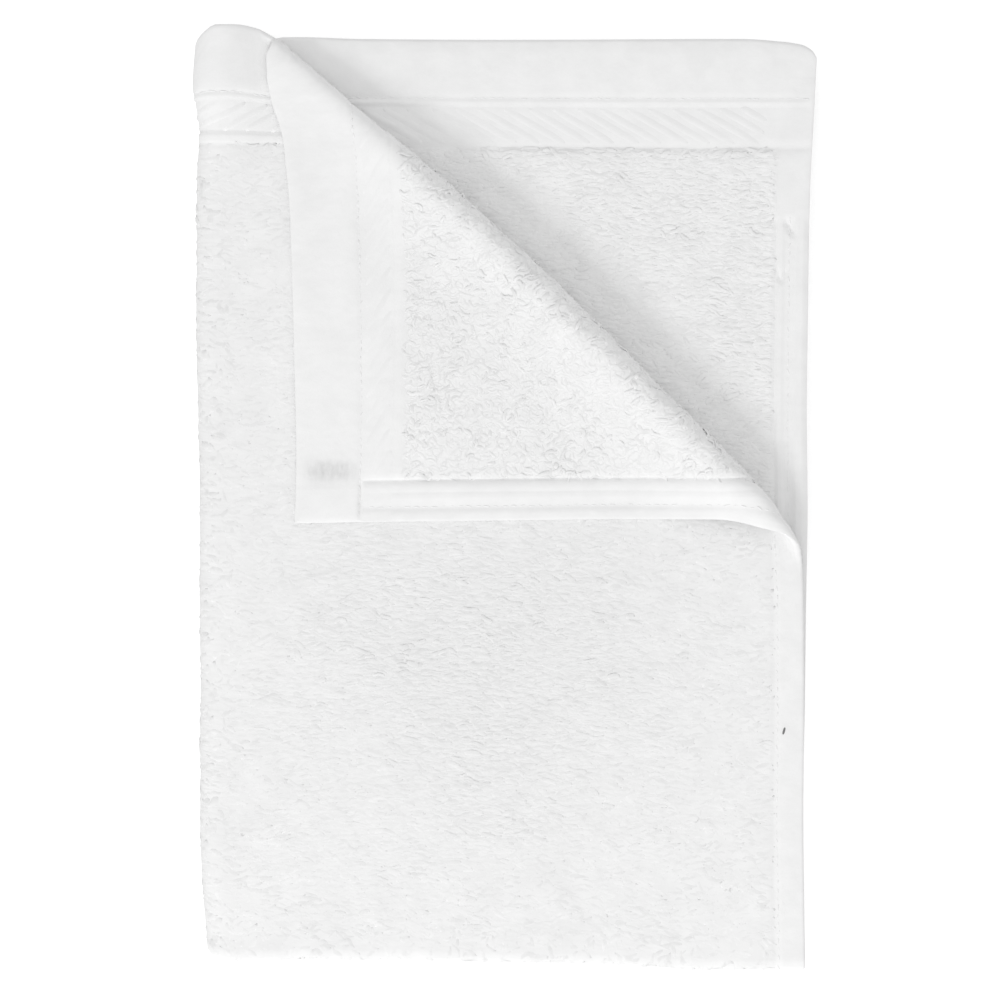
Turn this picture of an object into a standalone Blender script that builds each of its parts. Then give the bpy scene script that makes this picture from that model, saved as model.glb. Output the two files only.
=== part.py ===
"""A white terry hand towel, folded in four, with the front leaf's corner turned down.

The towel is one piece of cloth: its end hems, side hems and woven bands are part of it, so it is one solid.
A place on the flat cloth is (across, along). Across starts at the front leaf's free side edge, and along at its
free end. The cloth is folded in three steps, each a section of lines and arcs:
    1. crosswise, at the bottom of the folded towel, which makes a double leaf;
    2. the front leaf's free corner is turned over along a slanting crease;
    3. the double leaf is folded lengthwise, at the left of the folded towel.
Metres, +X to the right of the folded towel, +Y up it, +Z out of its front. The underside lies on Z = 0.
"""

import math

import bmesh
import bpy
import numpy as np

# The flat cloth
WIDTH = 0.393
LENGTH = 0.600
TERRY = 0.0032  # thickness over the pile of both faces
GAP = 0.0004  # between one leaf and the next
PITCH = TERRY + GAP
END_SECTION = (  # from an end edge inwards: distance, thickness
    (0.0000, 0.0024),
    (0.0085, 0.0028),
    (0.0180, 0.0028),
    (0.0205, 0.0018),
    (0.0345, 0.0018),
    (0.0375, TERRY),
)
SIDE_SECTION = (  # from a side edge inwards: distance, thickness
    (0.0000, 0.0022),
    (0.0100, 0.0026),
    (0.0118, 0.0019),
    (0.0145, TERRY),
)

# Step 1, the crosswise fold
CROSS_RADIUS = PITCH / 2
CROSS_ARC = math.pi * CROSS_RADIUS
LEAF = (LENGTH - CROSS_ARC) / 2  # from a free end to the fold
DOUBLE_HALF = CROSS_RADIUS + TERRY / 2  # half the thickness of the double leaf
TOP = DOUBLE_HALF + LEAF  # height of the free ends up the towel
FLARE = (  # height up the towel, how far the inner leaf's side edge stands out
    (0.000, 0.0000),
    (0.110, 0.0000),
    (0.135, 0.0010),
    (0.150, 0.0022),
    (0.185, 0.0026),
    (0.250, 0.0029),
    (0.281, 0.0044),
    (0.301, 0.0053),
)

# Step 2, the turned corner: the crease runs between two points, given from the left fold and up from the bottom
CREASE_START = (0.0239, 0.3016)
CREASE_END = (0.1976, 0.1350)
CREASE = (  # share of the crease's length, how far it bows out, radius of its roll
    (0.00, 0.0010, 0.0022),
    (0.10, 0.0032, 0.0030),
    (0.22, 0.0062, 0.0042),
    (0.50, 0.0092, 0.0048),
    (0.75, 0.0088, 0.0050),
    (0.89, 0.0088, 0.0052),
    (0.95, 0.0062, 0.0044),
    (1.00, 0.0016, 0.0030),
)
CREASE_SETTLE = 0.060  # radius of the long bend behind the roll
FLAP_RISE = PITCH + 0.0006
FLAP_SLANT = 0.095  # sideways lean of the turned corner, by its distance from the crease
FLAP_DRAW = 0.07  # share by which the turned corner reaches further

# Step 3, the lengthwise fold
SIDE_RADIUS = PITCH
SIDE_RISE = 2 * PITCH  # from the back double leaf to the front one
SIDE_SETTLE = 0.036
SIDE_START = SIDE_RADIUS + DOUBLE_HALF  # from the left edge to the start of the turn
FOLDED_WIDTH = SIDE_START + (WIDTH - math.pi * SIDE_RADIUS) / 2
ROLL = (  # height up the towel, radius of the fold, how far its turn starts from the left
    (0.000, SIDE_RADIUS, SIDE_START),
    (0.256, SIDE_RADIUS, SIDE_START),
    (0.270, 0.0042, 0.0082),
    (0.284, 0.0060, 0.0084),
    (0.301, 0.0064, 0.0095),
)
ROLL_JUT = 0.0032  # the roll's free end stands out above the other ends
ROLL_MIDDLE = 0.010
ROLL_REACH = 0.012
ROLL_LENGTH = 0.040

# How the folded towel departs from straight edges and level leaves
SIDES = (  # height up the towel, left edge in, right edge out
    (0.000, 0.0034, 0.0010),
    (0.005, 0.0034, 0.0009),
    (0.022, 0.0021, 0.0007),
    (0.050, 0.0011, 0.0002),
    (0.150, 0.0010, -0.0005),
    (0.200, 0.0000, -0.0002),
    (0.300, 0.0000, 0.0000),
)
BOTTOM = (  # distance from the left, bottom edge lifted
    (0.000, 0.0028),
    (0.012, 0.0026),
    (0.060, 0.0012),
    (0.125, 0.0000),
    (0.165, -0.0020),
    (0.200, -0.0016),
)
SWELL = 0.0007  # slow rise and fall of the front leaf
SWELL_LENGTHS = (0.085, 0.120)  # to the right and up the towel
SWELL_START = 1.0  # angle of the first swell at the left edge

# Mesh lines: start, end and distance apart
LINES_ACROSS = (
    (SIDE_SECTION[-1][0], 0.165, 0.0180),
    (0.165, 0.187, 0.0055),  # where the loose roll settles
    (0.187, 0.213, 0.0019),  # where the lengthwise fold turns
    (0.213, WIDTH - SIDE_SECTION[-1][0], 0.0180),
)
LINES_ALONG = (
    (END_SECTION[-1][0], LEAF - 0.012, 0.0190),
    (LEAF - 0.012, LEAF, 0.0060),
    (LEAF, LEAF + CROSS_ARC, CROSS_ARC / 6),
    (LEAF + CROSS_ARC, LEAF + CROSS_ARC + 0.012, 0.0060),
    (LEAF + CROSS_ARC + 0.012, LENGTH - END_SECTION[-1][0], 0.0190),
)
LINES_BEYOND_CREASE = (
    (-0.0045, 0.0195, 0.0024),  # where the crease's roll turns
    (0.0195, 0.0450, 0.0085),
)
CREASE_MESH_WIDTH = 0.187  # the crease's lines end here, counted across
SNAP = 0.0004  # a corner nearer than this to a crease line counts as on it

SHARP_ANGLE = math.radians(50)
CLOTH_COLOUR = (0.86, 0.86, 0.855, 1.0)
CLOTH_ROUGHNESS = 0.95


def curve(place, table, column):
    """A smooth curve through one column of a table, read at each place."""
    knots = np.array([row[0] for row in table])
    values = np.array([row[column] for row in table])
    rise = np.diff(values) / np.diff(knots)
    level = rise[:-1] * rise[1:] <= 0
    between = np.where(level, 0, 2 * rise[:-1] * rise[1:] / np.where(level, 1, rise[:-1] + rise[1:]))
    slopes = np.concatenate([rise[:1], between, rise[-1:]])
    row = np.clip(np.searchsorted(knots, place) - 1, 0, len(knots) - 2)
    span = knots[row + 1] - knots[row]
    share = np.clip((place - knots[row]) / span, 0, 1)
    rest = 1 - share
    start = (values[row] * (1 + 2 * share) + slopes[row] * span * share) * rest**2
    end = (values[row + 1] * (3 - 2 * share) - slopes[row + 1] * span * rest) * share**2
    return start + end


def loop_sizes(radius, settle, rise):
    """How far past level a fold turns, as an angle, and the length of cloth that the fold takes up."""
    dip = np.arccos(np.clip((settle + rise - radius) / (settle + radius), -1, 1))
    taken = radius * (math.pi + dip) + settle * dip - (radius + settle) * np.sin(dip)
    return dip, taken


def loop(distance, radius, settle, dip):
    """The section of a fold: a level run, a turn past level by the dip, and a long bend back to level.

    Returns how far out, how high and at what heading the cloth is at a distance from the start of the turn.
    """
    turn = radius * (math.pi + dip)
    bend = settle * dip
    turned = np.clip(distance, 0, turn) / radius
    heading = turned - np.clip(distance - turn, 0, bend) / settle
    out = np.minimum(distance, 0) + radius * np.sin(turned) + settle * (np.sin(turned) - np.sin(heading))
    out = out - np.maximum(distance - turn - bend, 0)
    high = radius * (1 - np.cos(turned)) + settle * (np.cos(heading) - np.cos(turned))
    return out, high, heading


def fold_crosswise(across, along):
    """Step 1. Returns the distance from the left, the height up the towel and the height over the double leaf."""
    angle = np.clip(along - LEAF, 0, CROSS_ARC) / CROSS_RADIUS
    straight = np.maximum(LEAF - along, 0) + np.maximum(along - LEAF - CROSS_ARC, 0)
    up = DOUBLE_HALF - CROSS_RADIUS * np.sin(angle) + straight
    over = CROSS_RADIUS * np.cos(angle)
    inner = angle / math.pi
    left = FOLDED_WIDTH - across
    jut = ROLL_JUT * np.exp(-(((left - ROLL_MIDDLE) / ROLL_REACH) ** 2)) * np.clip(1 - along / ROLL_LENGTH, 0, 1)
    return left + inner * curve(up, FLARE, 1), up + jut, over


def crease_line():
    """The crease's start, its length, and the directions along it and out over the free corner."""
    start = np.array(CREASE_START)
    run = np.array(CREASE_END) - start
    length = np.hypot(*run)
    run = run / length
    return start, length, run, np.array((-run[1], run[0]))


def turn_corner(left, up, over):
    """Step 2, on the front leaf only."""
    start, length, run, away = crease_line()
    down = (left - start[0]) * run[0] + (up - start[1]) * run[1]
    beyond = (left - start[0]) * away[0] + (up - start[1]) * away[1]
    share = np.clip(down / length, 0, 1)
    bow = curve(share, CREASE, 1)
    radius = curve(share, CREASE, 2)
    dip, taken = loop_sizes(radius, CREASE_SETTLE, FLAP_RISE)
    begin = bow - taken / 2
    out, high, heading = loop(beyond - begin, radius, CREASE_SETTLE, dip)
    reach = out + begin
    back = np.maximum(bow - reach, 0) * np.clip(2 * heading / math.pi - 1, 0, 1)
    slid = down - FLAP_SLANT * back
    reach = reach - FLAP_DRAW * back
    turned = (beyond > begin) & (over > 0)
    new_left = start[0] + slid * run[0] + reach * away[0]
    new_up = start[1] + slid * run[1] + reach * away[1]
    return np.where(turned, new_left, left), np.where(turned, new_up, up), over + np.where(turned, high, 0)


def fold_lengthwise(left, up, over):
    """Step 3. Returns the place across the folded towel and the height over its underside."""
    radius = curve(up, ROLL, 1)
    begin = curve(up, ROLL, 2)
    dip, taken = loop_sizes(radius, SIDE_SETTLE, SIDE_RISE)
    out, high, heading = loop(left - begin + taken, radius, SIDE_SETTLE, dip)
    x = begin - out - over * np.sin(heading)
    z = DOUBLE_HALF + high - over * np.cos(heading)
    return x, z


def settle_edges(x, y, z):
    """The uneven edges of the folded towel and the slow swells of its upper leaves. The underside stays flat."""
    share = np.clip(x / FOLDED_WIDTH, 0, 1)
    moved = curve(y, SIDES, 1) * (1 - share) + curve(y, SIDES, 2) * share
    lifted = curve(x, BOTTOM, 1) * np.clip(1 - y / TOP, 0, 1)
    swell_across = np.sin(2 * math.pi * x / SWELL_LENGTHS[0] + SWELL_START)
    swell_up = np.sin(2 * math.pi * y / SWELL_LENGTHS[1])
    level = np.clip((z - TERRY / 2) / (3 * PITCH), 0, 1)
    raised = SWELL * level * (1 + swell_across * swell_up) / 2
    return x + moved, y + lifted, z + raised


def middle(across, along):
    """Where the middle of the cloth lies once the towel is folded."""
    left, up, over = fold_crosswise(across, along)
    left, up, over = turn_corner(left, up, over)
    x, z = fold_lengthwise(left, up, over)
    return np.stack(settle_edges(x, up, z), axis=-1)


def facing(across, along):
    """The direction that the cloth's outer face looks in."""
    step = 1e-5
    by_width = middle(across + step, along) - middle(across - step, along)
    by_length = middle(across, along + step) - middle(across, along - step)
    normal = np.cross(by_width, by_length)
    return normal / np.linalg.norm(normal, axis=-1, keepdims=True)


def thickness(across, along):
    """Hems, bands and terry, from the distance to the nearest end and side edge."""
    to_end = np.minimum(along, LENGTH - along)
    to_side = np.minimum(across, WIDTH - across)
    by_end = np.interp(to_end, *zip(*END_SECTION))
    by_side = np.interp(to_side, *zip(*SIDE_SECTION))
    return np.minimum(by_end, by_side)


def even_lines(start, end, apart):
    """Even mesh lines from start to end."""
    return np.linspace(start, end, round((end - start) / apart) + 1)


def mesh_lines(section, runs, size):
    """The flat cloth's mesh lines one way: those of both its hems, and those of each run between them."""
    hem = [row[0] for row in section]
    far_hem = [size - place for place in hem]
    return np.unique(np.concatenate([hem, far_hem, *(even_lines(*run) for run in runs)]).round(6))


def flat_cloth():
    """The flat cloth as a triangle mesh, with extra lines along the crease of the turned corner."""
    across = mesh_lines(SIDE_SECTION, LINES_ACROSS, WIDTH)
    along = mesh_lines(END_SECTION, LINES_ALONG, LENGTH)
    flat = bmesh.new()
    grid = [[flat.verts.new((a, b, 0)) for b in along] for a in across]
    for i in range(len(across) - 1):
        for j in range(len(along) - 1):
            ring = [grid[i][j], grid[i + 1][j], grid[i + 1][j + 1], grid[i][j + 1]]
            behind = across[i] > WIDTH / 2
            inside = along[j] > LENGTH / 2
            flat.faces.new(ring if behind == inside else ring[1:] + ring[:1])
    start, _, _, away = crease_line()
    for beyond in np.unique(np.concatenate([even_lines(*run) for run in LINES_BEYOND_CREASE]).round(6)):
        middles = {f: f.calc_center_median() for f in flat.faces}
        front = [f for f, place in middles.items() if place.x < CREASE_MESH_WIDTH and place.y < LEAF]
        edges = {e for f in front for e in f.edges}
        corners = {v for f in front for v in f.verts}
        left, up = start + away * beyond
        bmesh.ops.bisect_plane(
            flat,
            geom=[*corners, *edges, *front],
            dist=SNAP,
            plane_co=(FOLDED_WIDTH - left, TOP - up, 0),
            plane_no=(*away, 0),
        )
    bmesh.ops.triangulate(flat, faces=flat.faces, quad_method="FIXED")
    return flat


def thicken(flat):
    """Folds the flat cloth and gives it its thickness: an outer face, an inner face and a wall round the edge."""
    flat.verts.ensure_lookup_table()
    flat.verts.index_update()
    across = np.array([v.co.x for v in flat.verts])
    along = np.array([v.co.y for v in flat.verts])
    centre = middle(across, along)
    half = facing(across, along) * thickness(across, along)[:, None] / 2
    points = np.concatenate([centre + half, centre - half])
    points[:, :2] -= (points[:, :2].min(0) + points[:, :2].max(0)) / 2
    count = len(flat.verts)
    solid = bmesh.new()
    corners = [solid.verts.new(p) for p in points]
    for face in flat.faces:
        ring = [v.index for v in face.verts]
        solid.faces.new([corners[i] for i in ring])
        solid.faces.new([corners[i + count] for i in reversed(ring)])
    for edge in flat.edges:
        if edge.is_boundary:
            a, b = (v.index for v in edge.verts)
            solid.faces.new((corners[a], corners[b], corners[b + count]))
            solid.faces.new((corners[a], corners[b + count], corners[a + count]))
    bmesh.ops.recalc_face_normals(solid, faces=solid.faces)
    flat.free()
    return solid


def cloth_material():
    """Bleached cotton."""
    material = bpy.data.materials.new("bleached_cotton")
    material.use_nodes = True
    surface = material.node_tree.nodes["Principled BSDF"]
    surface.inputs["Base Color"].default_value = CLOTH_COLOUR
    surface.inputs["Roughness"].default_value = CLOTH_ROUGHNESS
    surface.inputs["Metallic"].default_value = 0.0
    return material


def make_towel():
    """The folded towel as one object."""
    solid = thicken(flat_cloth())
    mesh = bpy.data.meshes.new("towel")
    solid.to_mesh(mesh)
    solid.free()
    mesh.shade_smooth()
    mesh.set_sharp_from_angle(angle=SHARP_ANGLE)
    mesh.materials.append(cloth_material())
    towel = bpy.data.objects.new("towel", mesh)
    bpy.context.scene.collection.objects.link(towel)


for old in list(bpy.data.objects):
    bpy.data.objects.remove(old)
make_towel()
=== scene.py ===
"""The looks of a white terry hand towel, folded in four with a corner of its front leaf turned down.

It is made as the real one is: woven and sewn flat, and folded last. The cloth, the cords of its twill
bands, its hem stitches and its pile loops are each modelled on the flat towel, where a place is (across,
along, above): across from the front leaf's free side edge, along from its free end, above from the middle
of the cloth. fold() then lays the piece in the folds of the part's solid. The cloth's front face shows on
the folded front. Its back face shows on the turned corner, and on the leaf that this corner uncovers.
Metres, in the part's frame.
"""

import math

import bpy
import numpy as np
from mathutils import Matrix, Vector


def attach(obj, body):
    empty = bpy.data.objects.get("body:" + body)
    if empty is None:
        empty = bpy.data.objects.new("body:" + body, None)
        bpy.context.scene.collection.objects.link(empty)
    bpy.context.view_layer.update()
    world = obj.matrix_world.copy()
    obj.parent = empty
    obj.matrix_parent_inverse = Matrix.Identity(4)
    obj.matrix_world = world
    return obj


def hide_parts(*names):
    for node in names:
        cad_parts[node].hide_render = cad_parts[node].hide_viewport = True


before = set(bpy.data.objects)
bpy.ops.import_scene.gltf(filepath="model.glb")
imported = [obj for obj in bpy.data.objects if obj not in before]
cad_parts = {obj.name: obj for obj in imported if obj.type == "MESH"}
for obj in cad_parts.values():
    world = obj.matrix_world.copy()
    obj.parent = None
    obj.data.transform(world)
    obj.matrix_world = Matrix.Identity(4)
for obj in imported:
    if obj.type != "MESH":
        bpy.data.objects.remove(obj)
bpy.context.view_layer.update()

FRONT = 1
BACK = -1

# The flat towel and its folds, which follow the solid's with small departures
WIDTH = 0.393
LENGTH = 0.600
TERRY = 0.0032  # thickness over the pile of both faces
PITCH = TERRY + 0.0004  # from one leaf to the next

CROSS_RADIUS = PITCH / 2
CROSS_ARC = math.pi * CROSS_RADIUS
CROSS_SQUARENESS = 0.45  # 1 is a round fold, and less is a flatter one with a steeper side
LEAF = (LENGTH - CROSS_ARC) / 2  # from a free end to the fold
DOUBLE_HALF = CROSS_RADIUS + TERRY / 2  # half the thickness of the double leaf
TOP = DOUBLE_HALF + LEAF  # height of the free ends up the towel
FLARE = (  # height up the towel, how far the inner leaf's side edge stands out
    (0.000, 0.0000),
    (0.050, 0.0001),
    (0.085, 0.0005),
    (0.118, 0.0011),
    (0.150, 0.0025),
    (0.183, 0.0021),
    (0.215, 0.0024),
    (0.250, 0.0029),
    (0.281, 0.0044),
    (0.301, 0.0051),
)

CREASE_START = (0.0239, 0.3016)  # from the left fold, up from the bottom
CREASE_END = (0.1976, 0.1350)
CREASE = (  # share of the crease's length, how far it bows out, radius of its roll
    (0.00, 0.0010, 0.0022),
    (0.10, 0.0032, 0.0030),
    (0.22, 0.0062, 0.0042),
    (0.50, 0.0092, 0.0048),
    (0.75, 0.0088, 0.0050),
    (0.89, 0.0088, 0.0052),
    (0.95, 0.0062, 0.0044),
    (1.00, 0.0016, 0.0030),
)
CREASE_SETTLE = 0.060  # radius of the long bend behind the roll
FLAP_RISE = PITCH + 0.0006
FLAP_SLANT = 0.095  # sideways lean of the turned corner, by its distance from the crease
FLAP_DRAW = 0.07  # share by which the turned corner reaches further
FLAP_SAG = (  # distance from the turned corner's free edges, how far it sinks onto the leaf below
    (0.000, 0.0021),
    (0.010, 0.0019),
    (0.028, 0.0008),
    (0.045, 0.0001),
    (0.055, 0.0000),
)
FLAP_PULL = 0.0044  # how far the top of its end edge is pulled to the left
FLAP_PULL_HEIGHTS = (0.266, 0.289)  # up the towel, where the pull begins and where it is full
FLAP_PULL_DEPTH = 0.016  # how far from the end edge it is felt

SIDE_RADIUS = PITCH
SIDE_RISE = 2 * PITCH  # from the back double leaf to the front one
SIDE_SETTLE = 0.036
SIDE_START = SIDE_RADIUS + DOUBLE_HALF  # from the left edge to the start of the turn
FOLDED_WIDTH = SIDE_START + (WIDTH - math.pi * SIDE_RADIUS) / 2
ROLL = (  # height up the towel, radius of the fold, how far its turn starts from the left
    (0.000, SIDE_RADIUS, SIDE_START),
    (0.256, SIDE_RADIUS, SIDE_START),
    (0.270, 0.0042, 0.0082),
    (0.284, 0.0060, 0.0084),
    (0.301, 0.0064, 0.0095),
)
ROLL_JUT = 0.0032  # how far the roll's free end stands out above the other ends
ROLL_MIDDLE = 0.010  # from the left
ROLL_REACH = 0.012
ROLL_LENGTH = 0.040

SIDES = (  # height up the towel, left edge in, right edge out
    (0.000, 0.0036, 0.0012),
    (0.005, 0.0031, 0.0010),
    (0.022, 0.0020, 0.0007),
    (0.050, 0.0011, 0.0004),
    (0.085, 0.0011, 0.0007),
    (0.118, 0.0010, 0.0005),
    (0.150, 0.0010, -0.0004),
    (0.200, 0.0000, -0.0002),
    (0.300, 0.0000, 0.0000),
)
BOTTOM = (  # distance from the left, bottom edge lifted
    (0.0000, 0.0042),
    (0.0012, 0.0026),
    (0.0033, 0.0013),
    (0.0075, 0.0003),
    (0.0120, -0.0001),
    (0.0300, 0.0004),
    (0.0600, 0.0002),
    (0.1250, -0.0010),
    (0.1650, -0.0028),
    (0.2000, -0.0030),
)
SWELL = 0.0007  # slow rise and fall of the upper leaves
SWELL_LENGTHS = (0.085, 0.120)  # to the right and up the towel
SWELL_START = 1.0  # angle of the first swell at the left edge
TOP_EDGE = (  # distance from the left, top edge lifted
    (-0.0003, -0.0043),
    (0.0003, -0.0036),
    (0.0017, -0.0018),
    (0.0042, 0.0000),
    (0.0072, 0.0013),
    (0.0107, 0.0011),
    (0.0157, 0.0015),
    (0.0190, 0.0017),
    (0.0212, 0.0017),
    (0.0231, 0.0011),
    (0.0251, 0.0004),
    (0.0275, 0.0010),
    (0.0350, 0.0011),
    (0.0530, 0.0005),
    (0.1000, 0.0002),
    (0.1785, 0.0005),
    (0.1916, -0.0004),
    (0.1980, -0.0014),
    (0.2008, -0.0028),
    (0.2021, -0.0042),
    (0.2034, -0.0068),
)
TOP_DEPTH = 0.018  # how far down the top edge's curve is felt
HOME = np.array((-0.10116, -0.15092, 0.0))  # where the left and bottom folds meet, in the part's frame
FLOOR_CLEAR = 0.0001  # nothing hangs lower over the floor than this
SMALL_STEP = 1e-5  # over which a slope is measured

# The cloth's faces: distance from the edge, height of the face over the cloth's middle
END_HEM = (
    (0.0000, 0.00035),
    (0.0003, 0.00085),
    (0.0012, 0.00115),
    (0.0050, 0.00125),
    (0.0165, 0.00125),
    (0.0181, 0.00110),
    (0.0189, 0.00084),  # the row of stitches
    (0.0197, 0.00108),
    (0.0205, 0.00112),
    (0.0210, 0.00062),  # the hem's inner edge
    (0.0216, 0.00070),  # the twill band
    (0.0300, 0.00070),
    (0.0306, 0.00058),
    (0.0315, 0.00122),  # the ridge before the pile
    (0.0334, 0.00126),
    (0.0342, 0.00086),
    (0.0354, 0.00114),
)
TURNED_END_HEM = (
    (0.0000, 0.00035),
    (0.0006, 0.00062),
    (0.0018, 0.00092),
    (0.0040, 0.00116),
    (0.0165, 0.00125),
    (0.0188, 0.00116),
    (0.0198, 0.00098),
    (0.0205, 0.00074),  # the row of stitches, at the hem's inner edge
    (0.0213, 0.00070),  # the twill band
    (0.0300, 0.00070),
    (0.0306, 0.00060),
    (0.0315, 0.00118),  # the ridge before the pile
    (0.0334, 0.00122),
    (0.0342, 0.00090),
    (0.0354, 0.00114),
)
FAR_END_HEM = END_HEM[:7] + (  # on the leaf that the turned corner uncovers
    (0.0197, 0.00112),
    (0.0207, 0.00118),
    (0.0214, 0.00064),  # the hem's inner edge
    (0.0220, 0.00070),  # the twill band
    (0.0338, 0.00070),
    (0.0347, 0.00044),  # the band's dark edge
    (0.0356, 0.00070),
    (0.0368, 0.00114),
)
FRONT_SIDE_HEM = (
    (0.0000, 0.00040),
    (0.0002, 0.00080),
    (0.0010, 0.00114),
    (0.0040, 0.00124),
    (0.0074, 0.00122),
    (0.0086, 0.00098),  # the row of stitches
    (0.0096, 0.00092),
    (0.0110, 0.00114),
)
TURNED_SIDE_HEM = (
    (0.0000, 0.00082),
    (0.0008, 0.00100),
    (0.0020, 0.00104),  # the rolled edge
    (0.0031, 0.00098),
    (0.0038, 0.00074),
    (0.0046, 0.00060),  # the row of stitches
    (0.0060, 0.00076),
    (0.0078, 0.00102),
    (0.0088, 0.00098),
    (0.0094, 0.00086),  # a thin line
    (0.0101, 0.00094),
    (0.0123, 0.00080),
    (0.0130, 0.00036),  # the gap before the pile
    (0.0134, 0.00012),
    (0.0138, 0.00036),
    (0.0145, 0.00112),
)
FAR_SIDE_HEM = (
    (0.0000, 0.00020),
    (0.0006, 0.00060),
    (0.0014, 0.00104),
    (0.0022, 0.00130),  # the rolled edge
    (0.0040, 0.00132),
    (0.0050, 0.00096),
    (0.0062, 0.00074),  # the row of stitches
    (0.0076, 0.00078),
    (0.0086, 0.00116),
    (0.0100, 0.00120),
    (0.0108, 0.00076),  # the step before the pile
    (0.0122, 0.00114),
)
PLAIN_SIDE = (  # where the end hem is folded over the side hem
    (0.0000, 0.00062),
    (0.0006, 0.00088),
    (0.0016, 0.00110),
    (0.0042, 0.00128),
    (0.0110, 0.00138),
    (0.0130, 0.00125),
    (0.0160, 0.00125),
)
TURNED_STRETCH = 1.06  # the turned corner is drawn out by this
PLAIN_LENGTH = 0.0208  # from the end edge, where the end hem lies over the side hem
FAR_PLAIN_LENGTH = 0.057  # the far leaf's side hem shows no stitches until there
PLAIN_STEP = 0.0012  # length of the step down to the side hem
DOUBLED_WIDTH = 0.012  # where both hems lie over each other, the cloth is thicker by DOUBLED
DOUBLED = 0.0002

# Soft unevenness of the faces: height, distance apart, seed
TERRY_LUMPS = ((0.00016, 0.0065, 5), (0.00022, 0.019, 9))
HEM_WAVES = (0.00007, 0.013, 15)
HEM_WAVES_FADE = (0.001, 0.004)  # distances from the edge

DENTS = (  # face, across, along, which way it runs, half its length, half its width, depth
    (BACK, 0.0185, 0.0120, 92, 0.0070, 0.0030, 0.00055),  # a soft hollow in the turned end hem, whose shade is also painted on
    (BACK, 0.0080, 0.0197, 0, 0.0058, 0.0005, 0.00075),  # the end hem's inner edge over the side hem
    (BACK, 0.0062, LENGTH - 0.0609, 56, 0.0032, 0.0008, 0.00090),  # where the far side hem begins
    (BACK, 0.0099, LENGTH - 0.0757, 72, 0.0026, 0.0007, 0.00070),
    (BACK, 0.0079, LENGTH - 0.0760, 110, 0.0026, 0.0007, 0.00070),
)

# Where the pile starts, from the edge, on the front, the turned corner and the far leaf
SIDE_PILE_STARTS = (0.0096, 0.0139, 0.0114)
END_PILE_STARTS = (0.0344, 0.0344 / TURNED_STRETCH, 0.0354)
SIDE_PILE_BEFORE = 0.0010  # the pile rises from so far before its start
PILE_RAMP = 0.0006
CURLY_FADE = 0.05  # how gradually the turned corner's curly pile ends beyond the bottom fold

# Where shade is painted on this towel: over the soft hollow in the turned end hem, and in the middle of the
# front leaf, whose pile was pressed least and stands taller
HOLLOW_SHADE_MIDDLE = (0.0172, 0.0104)
HOLLOW_SHADE_REACH = (0.0034, 0.0074)
DEEP_MIDDLE = (0.105, 0.200)  # where the front leaf's pile was pressed least, stands tallest and is painted darker for the shade deep in it
DEEP_REACH = 0.062

# Mesh lines of the cloth: start, end and distance apart
LINES_ACROSS = (
    (0.0012, 0.0160, 0.0012),
    (0.0160, 0.187, 0.0025),
    (0.187, 0.213, 0.0014),
    (0.213, WIDTH - 0.011, 0.0065),
)
LINES_ALONG = (
    (0.0012, 0.0364, 0.0012),
    (0.0364, 0.185, 0.0026),
    (0.185, 0.290, 0.0036),
    (0.290, 0.310, 0.0011),
    (0.310, LENGTH - 0.0800, 0.0054),
    (LENGTH - 0.0800, LENGTH - 0.0720, 0.0010),
    (LENGTH - 0.0720, LENGTH - 0.0655, 0.0030),
    (LENGTH - 0.0655, LENGTH - 0.0555, 0.0010),
    (LENGTH - 0.0555, LENGTH - 0.0368, 0.0040),
    (LENGTH - 0.0338, LENGTH - 0.0220, 0.0024),
)
CLOSEST_LINES = 0.0005
CLOSEST_EDGE_LINES = 0.00015


def curve(place, table, column=1):
    """A smooth curve through one column of a table, read at each place."""
    knots = np.array([row[0] for row in table])
    values = np.array([row[column] for row in table])
    rise = np.diff(values) / np.diff(knots)
    level = rise[:-1] * rise[1:] <= 0
    between = np.where(level, 0, 2 * rise[:-1] * rise[1:] / np.where(level, 1, rise[:-1] + rise[1:]))
    slopes = np.concatenate([rise[:1], between, rise[-1:]])
    row = np.clip(np.searchsorted(knots, place) - 1, 0, len(knots) - 2)
    span = knots[row + 1] - knots[row]
    share = np.clip((place - knots[row]) / span, 0, 1)
    rest = 1 - share
    start = (values[row] * (1 + 2 * share) + slopes[row] * span * share) * rest**2
    end = (values[row + 1] * (3 - 2 * share) - slopes[row + 1] * span * rest) * share**2
    return start + end


def smooth(value, start, end):
    """0 before start, 1 after end, and an S-curve between them."""
    share = np.clip((value - start) / (end - start), 0, 1)
    return share**2 * (3 - 2 * share)


def hump(value, place, reach):
    """1 at a place, falling softly to 0 round it."""
    return np.exp(-(((value - place) / reach) ** 2))


def loop_sizes(radius, settle, rise):
    """How far past level a fold turns, and the length of cloth that it takes up."""
    dip = np.arccos(np.clip((settle + rise - radius) / (settle + radius), -1, 1))
    taken = radius * (math.pi + dip) + settle * dip - (radius + settle) * np.sin(dip)
    return dip, taken


def loop(distance, radius, settle, dip):
    """The section of a fold: a level run, a turn past level, and a long bend back to level."""
    turn = radius * (math.pi + dip)
    bend = settle * dip
    turned = np.clip(distance, 0, turn) / radius
    heading = turned - np.clip(distance - turn, 0, bend) / settle
    out = np.minimum(distance, 0) + radius * np.sin(turned) + settle * (np.sin(turned) - np.sin(heading))
    out = out - np.maximum(distance - turn - bend, 0)
    high = radius * (1 - np.cos(turned)) + settle * (np.cos(heading) - np.cos(turned))
    return out, high, heading


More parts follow.
